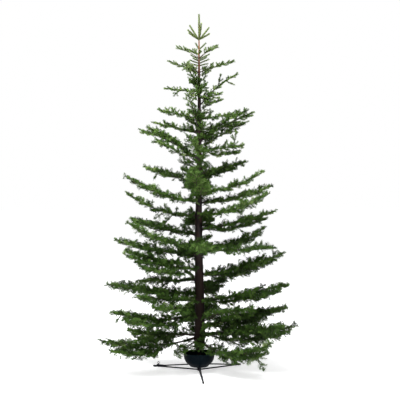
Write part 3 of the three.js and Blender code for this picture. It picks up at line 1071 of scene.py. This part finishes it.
class CUTFIR_OT_bowl(bpy.types.Operator):
    """Spin the water bowl from sheet steel, with its rolled rim"""

    bl_idname = "cut_fir.bowl"
    bl_label = "Bowl"

    def execute(self, context):
        settings = context.scene.cut_fir.stand
        points = node_points("bowl")
        low, high = points[:, 2].min(), points[:, 2].max()
        distance = np.hypot(points[:, 0], points[:, 1])
        hole, radius = distance.min(), distance.max()
        rings = rings_along(points[:, 2], RIM_GAP)
        heights = [points[ring, 2].mean() for ring in rings]
        widths = [distance[ring].max() for ring in rings]
        bead, sheet = settings.bead, settings.wall
        levels = low + (high - bead - low) * (np.arange(1, 22) / 21) ** 1.5
        outer = [(float(np.interp(z, heights, widths)), float(z)) for z in levels]
        inner = [(r - sheet, max(z, low + sheet)) for r, z in reversed(outer)]
        rim = [
            (radius - bead * (0.6 + math.cos(a)), high - bead + bead * math.sin(a))
            for a in np.linspace(math.pi * 1.15, -math.pi * 0.15, 9)
        ]
        flat = [(hole, low), (0.3 * widths[0] + 0.7 * hole, low), (widths[0] - 0.004, low)]
        back = [(hole, low + sheet), (hole, low)]
        bm = bmesh.new()
        spun(bm, flat + outer + rim + inner + back, 96)
        mesh = mesh_from_bmesh(bm, "bowl")
        finish_piece(mesh, "water_bowl", ["bowl"], [enamel_finish(settings)])
        return {"FINISHED"}


class CUTFIR_OT_post(bpy.types.Operator):
    """Spin the post under the bowl with its collar and pin"""

    bl_idname = "cut_fir.post"
    bl_label = "Post"

    def execute(self, context):
        settings = context.scene.cut_fir.stand
        low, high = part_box("centre_pin")
        points = node_points("centre_pin")
        distance = np.hypot(points[:, 0], points[:, 1])
        collar = distance.max()
        seat = points[distance > 0.9 * collar, 2]
        hub = distance[points[:, 2] < low[2] + 0.002].max()
        pin = 0.36 * collar
        ease = 0.0015
        foot, top, under, over_seat = low[2], high[2], seat.min(), seat.max()
        profile = [(0, foot), (hub - ease, foot), (hub, foot + ease)]
        profile += [(hub, under - 0.003), (hub + 0.002, under - 0.001), (collar - ease, under)]
        profile += [(collar, under + ease), (collar, over_seat - ease), (collar - ease, over_seat)]
        profile += [(pin + ease, over_seat), (pin, over_seat + ease)]
        profile += [(pin, top - 0.014), (pin * 0.3, top), (0, top)]
        bm = bmesh.new()
        spun(bm, profile, 40)
        mesh = mesh_from_bmesh(bm, "post")
        finish_piece(mesh, "stand_post", ["centre_pin"], [rod_finish(settings)])
        return {"FINISHED"}


def leg_heading(index):
    low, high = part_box(f"levelling_screw_{index}")
    return math.atan2(low[1] + high[1], low[0] + high[0])


def screw_reach(index):
    low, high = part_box(f"levelling_screw_{index}")
    return math.hypot(low[0] + high[0], low[1] + high[1]) / 2


def leg_points(index):
    """A leg's points in the frame, turned so that it runs along X."""
    turn = Matrix.Rotation(-leg_heading(index), 3, "Z")
    return np.array([turn @ Vector(point) for point in node_points(f"leg_{index}")])


def finish_turned(bm, index, name, nodes, material, smooth=True):
    """Makes a piece of what was built along X, turned to its leg's heading."""
    mesh = mesh_from_bmesh(bm, name, smooth)
    mesh.transform(Matrix.Rotation(leg_heading(index), 4, "Z"))
    finish_piece(mesh, f"{name}_{index}", nodes, [material])


class CUTFIR_OT_legs(bpy.types.Operator):
    """Weld up the legs: a rod, its brace from the bowl's flank, the beads and a rubber tip"""

    bl_idname = "cut_fir.legs"
    bl_label = "Legs"

    def execute(self, context):
        settings = context.scene.cut_fir.stand
        paint = rod_finish(settings)
        rubber = rubber_finish(settings)
        for index in range(1, LEG_COUNT + 1):
            points = leg_points(index)
            self.rods(settings, index, points, paint)
            self.tip(index, points, rubber)
        return {"FINISHED"}

    def rods(self, settings, index, points, paint):
        near, reach = points[:, 0].min(), points[:, 0].max()
        hub_height = points[points[:, 0] < near + 0.002][:, 2].mean()
        foot_height = self.tip_radius(points)
        top = points[np.argmax(points[:, 2])]
        screw = screw_reach(index)
        weld = WELD * reach
        on_rod = settings.rod + settings.brace - 0.001

        def at(x, above=0.0):
            return (x, 0, hub_height + (foot_height - hub_height) * (x - near) / (reach - near) + above)

        bm = bmesh.new()
        swept(bm, [at(near), (reach - 0.012, 0, at(reach)[2])], [settings.rod] * 2, 16)
        brace = [
            (top[0] - 0.004, 0, top[2] - settings.brace),
            (weld - 0.02, 0, at(weld, on_rod + 0.0026)[2]),
            at(weld, on_rod + 0.0003),
            at(weld + 0.02, on_rod),
            (screw + 0.014, 0, at(screw, on_rod)[2]),
        ]
        swept(bm, brace, [settings.brace] * len(brace), 16)
        for x in (weld - 0.006, weld + 0.008, screw - 0.014, screw + 0.012):
            self.bead(bm, at(x, settings.rod), 0.0052)
        self.bead(bm, (near + 0.003, 0, at(near, 0.5 * settings.rod)[2]), 0.006)
        finish_turned(bm, index, "rod_leg", [f"leg_{index}"], paint)

    def tip_radius(self, points):
        tip = points[points[:, 0] > points[:, 0].max() - 0.001, 2]
        return (tip.max() - tip.min()) / 2

    def tip(self, index, points, rubber):
        reach, radius = points[:, 0].max(), self.tip_radius(points)
        bm = bmesh.new()
        path = [(reach - back, 0, radius) for back in (FOOT_TIP, FOOT_TIP - 0.002, 0.003, 0)]
        swept(bm, path, [radius * 0.86, radius, radius, radius * 0.8], 20)
        finish_turned(bm, index, "rubber_tip", [], rubber)

    def bead(self, bm, place, size):
        """A lump of weld."""
        made = bmesh.ops.create_icosphere(bm, subdivisions=2, radius=size)["verts"]
        for vert in made:
            vert.co *= 1 + 0.2 * noise.noise(vert.co * 400 + Vector(place) * 90)
            vert.co.z *= 0.6
        bmesh.ops.translate(bm, verts=made, vec=place)


class CUTFIR_OT_levelling_screws(bpy.types.Operator):
    """Make the eye screws that level the stand, each with its thread and its nut"""

    bl_idname = "cut_fir.levelling_screws"
    bl_label = "Levelling Screws"

    def execute(self, context):
        settings = context.scene.cut_fir.stand
        zinc = zinc_finish(settings)
        for index in range(1, LEG_COUNT + 1):
            self.screw(settings, index, screw_reach(index), zinc)
        return {"FINISHED"}

    def screw(self, settings, index, reach, zinc):
        low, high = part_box(f"levelling_screw_{index}")
        bottom, middle = low[2], high[2] - EYE - settings.eye_wire
        bm = bmesh.new()
        turns = np.linspace(math.radians(5), math.radians(358), 28)
        ring = [(reach + EYE * math.sin(a), 0, middle - EYE * math.cos(a)) for a in turns]
        swept(bm, ring, [settings.eye_wire] * len(ring), 10)
        ridges = [bottom + THREAD * i for i in range(int((middle - EYE - bottom) / THREAD) + 1)]
        radii = [0.0029 if i % 2 else 0.0024 for i in range(len(ridges))]
        swept(bm, [(reach, 0, z) for z in ridges], radii, 12)
        leg = leg_points(index)
        top = leg[np.abs(leg[:, 0] - reach) < 0.02, 2].max()
        width = {"radius1": NUT, "radius2": NUT}
        nut = bmesh.ops.create_cone(bm, cap_ends=True, segments=6, depth=0.004, **width)
        bmesh.ops.translate(bm, verts=nut["verts"], vec=(reach, 0, top + 0.0021))
        finish_turned(bm, index, "eye_screw", [f"levelling_screw_{index}"], zinc, smooth=False)


class CUTFIR_OT_trunk(bpy.types.Operator):
    """Extrude the trunk ring by ring with the bark's relief and a collar round every limb"""

    bl_idname = "cut_fir.trunk"
    bl_label = "Trunk"

    def execute(self, context):
        settings = context.scene.cut_fir.trunk
        low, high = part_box("trunk")
        steps = int((high[2] - low[2]) / settings.step)
        heights = [low[2] + (high[2] - low[2]) * level / steps for level in range(steps + 1)]
        collars = [(bough.height(0.03), bough.heading) for bough in boughs()]
        near = [[c for c in collars if abs(c[0] - height) < COLLAR_REACH] for height in heights]

        def place(level, corner):
            angle = math.atan2(corner.y, corner.x)
            return self.skin(settings, heights[level], angle, low[2], near[level])

        bm = bmesh.new()
        extruded(bm, settings.sides, steps + 1, place)
        self.hollow_for_pin(bm, low[2])
        mesh = mesh_from_bmesh(bm, "trunk")
        finish_piece(mesh, "fir_trunk", ["trunk"], [bark_finish(settings), sawn_finish(settings)])
        for polygon in mesh.polygons:
            polygon.material_index = int(polygon.normal.z < -0.9 and polygon.center.z < low[2] + 0.002)
        return {"FINISHED"}

    def skin(self, settings, height, angle, low, collars):
        """Where the bark is at a height and an angle."""
        radius = trunk_radius(height)
        young = min(1, max(0, (height / HEIGHT - 0.55) / 0.35))
        out = Vector((math.cos(angle), math.sin(angle), 0))
        furrow = noise.fractal(Vector((out.x * 11.7, out.y * 11.7, height * 15.3)), 0.9, 2.1, 4)
        swell = 0.5 * noise.noise(Vector((out.x * 2, out.y * 2, height * 9)))
        size = radius + settings.relief * (1 - 0.8 * young) * (0.9 * furrow + 1.2 * swell)
        for level, heading in collars:
            around = math.remainder(angle - heading, 2 * math.pi) * radius
            away = ((height - level) / COLLAR_SIZE[1]) ** 2 + (around / COLLAR_SIZE[0]) ** 2
            size += settings.collar * min(1, radius / 0.03) * math.exp(-away)
        if height < low + 0.003:
            size -= 0.001
        return Vector(trunk_middle(height)) + out * max(size, 0.0012)

    def hollow_for_pin(self, bm, low):
        """Bores the hole for the stand's pin into the sawn end."""
        bottom = min(bm.faces, key=lambda face: face.calc_center_median().z)
        pin = np.hypot(*node_points("centre_pin")[:, :2].T)
        hole = float(np.sort(pin[pin > 0.004])[0]) + 0.0006
        bmesh.ops.inset_individual(bm, faces=[bottom], thickness=0.02, use_even_offset=True)
        middle = bottom.calc_center_median()
        for vert in bottom.verts:
            way = (vert.co - middle).normalized()
            vert.co = Vector((0, 0, low)) + way * hole
        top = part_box("centre_pin")[1][2] + 0.003
        pulled = bmesh.ops.extrude_face_region(bm, geom=[bottom])["geom"]
        for item in pulled:
            if isinstance(item, bmesh.types.BMVert):
                item.co.z = top
        bmesh.ops.delete(bm, geom=[bottom], context="FACES_ONLY")


class CUTFIR_OT_limbs(bpy.types.Operator):
    """Lay the limbs from the trunk to their tips"""

    bl_idname = "cut_fir.limbs"
    bl_label = "Limbs"

    def execute(self, context):
        crown = context.scene.cut_fir.crown
        rng = np.random.default_rng(crown.seed + 1)
        points, faces = stacked([limb_tube(line, radii, 8, rng) for line, radii in grown().limbs])
        mesh = mesh_from_arrays("limbs", points, faces)
        nodes = [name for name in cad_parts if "_limb_" in name]
        finish_piece(mesh, "fir_limbs", nodes, [twig_finish("limb_bark", crown.limb_bark)])
        return {"FINISHED"}


class CUTFIR_OT_twigs(bpy.types.Operator):
    """Grow the branchlets and the twigs of every fan"""

    bl_idname = "cut_fir.twigs"
    bl_label = "Twigs"

    def execute(self, context):
        crown = context.scene.cut_fir.crown
        growth = grown()
        parts = [spikes(np.array(growth.branchlets), 4, 3), spikes(np.array(growth.twigs), 3, 1)]
        points, faces = stacked(parts)
        mesh = mesh_from_arrays("twigs", points, faces)
        finish_piece(mesh, "fir_twigs", [], [twig_finish("twig_bark", crown.twig)])
        return {"FINISHED"}


class CUTFIR_OT_needles(bpy.types.Operator):
    """Clothe the shoots with needles, in pieces by their colour"""

    bl_idname = "cut_fir.needles"
    bl_label = "Needles"

    def execute(self, context):
        crown = context.scene.cut_fir.crown
        rng = np.random.default_rng(crown.seed + 2)
        growth = grown()
        rows = np.array(growth.clothed + growth.branchlets + growth.twigs)
        points, tones = needles(rows, crown, rng)
        colours = {name: getattr(crown, name) for name in ("shade", "deep", "mid", "fresh", "pale", "lime")}
        groups = np.clip(np.round(tones), 0, len(colours) - 1).astype(int)
        masses = [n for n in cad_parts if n.startswith(("left_bough", "right_bough"))]
        masses += [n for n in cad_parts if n.endswith(("whorl", "leader_shoot")) or "foliage" in n]
        for number, (name, base) in enumerate(colours.items()):
            material = needle_finish(f"{name}_needles", base)
            chosen = points[groups == number]
            for part in range(math.ceil(len(chosen) / NEEDLES_A_PIECE)):
                these = chosen[part * NEEDLES_A_PIECE : (part + 1) * NEEDLES_A_PIECE]
                faces = np.array([(0, 1, 2), (0, 2, 3)])[None] + (4 * np.arange(len(these)))[:, None, None]
                mesh = mesh_from_arrays(name, these.reshape(-1, 3), faces.reshape(-1, 3), smooth=False)
                finish_piece(mesh, f"{name}_needles_{part + 1}", masses, [material])
                masses = []
        return {"FINISHED"}


class CUTFIR_OT_stage(bpy.types.Operator):
    """Set the floor, the lights and the camera"""

    bl_idname = "cut_fir.stage"
    bl_label = "Stage"

    def execute(self, context):
        stage = context.scene.cut_fir.stage
        self.floor(context, stage)
        self.lights(context, stage)
        self.camera(context, stage)
        return {"FINISHED"}

    def floor(self, context, stage):
        bm = bmesh.new()
        bmesh.ops.create_circle(bm, cap_ends=True, radius=60, segments=96)
        mesh = mesh_from_bmesh(bm, "floor")
        mesh.materials.append(floor_finish(stage))
        floor = bpy.data.objects.new("studio_floor", mesh)
        context.scene.collection.objects.link(floor)

    def lights(self, context, stage):
        world = bpy.data.worlds.new("studio")
        context.scene.world = world
        world.use_nodes = True
        nodes = world.node_tree.nodes
        seen = nodes.new("ShaderNodeMath")
        seen.operation = "MAXIMUM"
        seen.inputs[1].default_value = stage.sky
        world.node_tree.links.new(nodes.new("ShaderNodeLightPath").outputs["Is Camera Ray"], seen.inputs[0])
        nodes["Background"].inputs["Color"].default_value = (1, 1, 1, 1)
        world.node_tree.links.new(seen.outputs[0], nodes["Background"].inputs["Strength"])
        context.scene.view_settings.view_transform = "Standard"
        self.softbox(context, "overhead", *OVERHEAD, stage.key)
        self.softbox(context, "front", *FRONT, stage.fill)

    def softbox(self, context, name, place, size, power):
        light = bpy.data.lights.new(name, "AREA")
        light.shape = "SQUARE"
        light.size = size
        light.energy = power
        lamp = bpy.data.objects.new(name, light)
        lamp.location = place
        aim = Vector((0, 0, 0.45 * HEIGHT)) - Vector(place)
        lamp.rotation_euler = aim.to_track_quat("-Z", "Y").to_euler()
        context.scene.collection.objects.link(lamp)

    def camera(self, context, stage):
        data = bpy.data.cameras.new("camera")
        data.lens = stage.lens
        data.sensor_width = 36
        data.shift_y = CAMERA_SHIFT
        camera = bpy.data.objects.new("camera", data)
        camera.location = (stage.aside, -stage.distance, stage.eye_level)
        camera.rotation_euler = (math.pi / 2, 0, 0)
        context.scene.collection.objects.link(camera)
        context.scene.camera = camera


class CUTFIR_PT_panel(bpy.types.Panel):
    """The pieces of the tree, in the order that they are made"""

    bl_idname = "CUTFIR_PT_panel"
    bl_label = "Cut Fir"
    bl_space_type = "VIEW_3D"
    bl_region_type = "UI"
    bl_category = "Cut Fir"

    def draw(self, context):
        for operator in OPERATORS:
            self.layout.operator(operator.bl_idname)
        settings = context.scene.cut_fir
        for title in ("stand", "trunk", "crown", "stage"):
            box = self.layout.box()
            box.label(text=title.title())
            group = getattr(settings, title)
            for name in group.__annotations__:
                box.prop(group, name)


OPERATORS = (
    CUTFIR_OT_stage,
    CUTFIR_OT_bowl,
    CUTFIR_OT_post,
    CUTFIR_OT_legs,
    CUTFIR_OT_levelling_screws,
    CUTFIR_OT_trunk,
    CUTFIR_OT_limbs,
    CUTFIR_OT_twigs,
    CUTFIR_OT_needles,
)
SETTINGS = (StandSettings, TrunkSettings, CrownSettings, StageSettings, CutFirSettings)
CLASSES = (*SETTINGS, *OPERATORS, CUTFIR_PT_panel)


def register():
    for item in CLASSES:
        bpy.utils.register_class(item)
    bpy.types.Scene.cut_fir = PointerProperty(type=CutFirSettings)


def unregister():
    del bpy.types.Scene.cut_fir
    for item in reversed(CLASSES):
        bpy.utils.unregister_class(item)


def main():
    register()
    bpy.ops.cut_fir.stage()
    bpy.ops.cut_fir.bowl()
    bpy.ops.cut_fir.post()
    bpy.ops.cut_fir.legs()
    bpy.ops.cut_fir.levelling_screws()
    bpy.ops.cut_fir.trunk()
    bpy.ops.cut_fir.limbs()
    bpy.ops.cut_fir.twigs()
    bpy.ops.cut_fir.needles()
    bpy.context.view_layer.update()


if __name__ == "__main__":
    main()
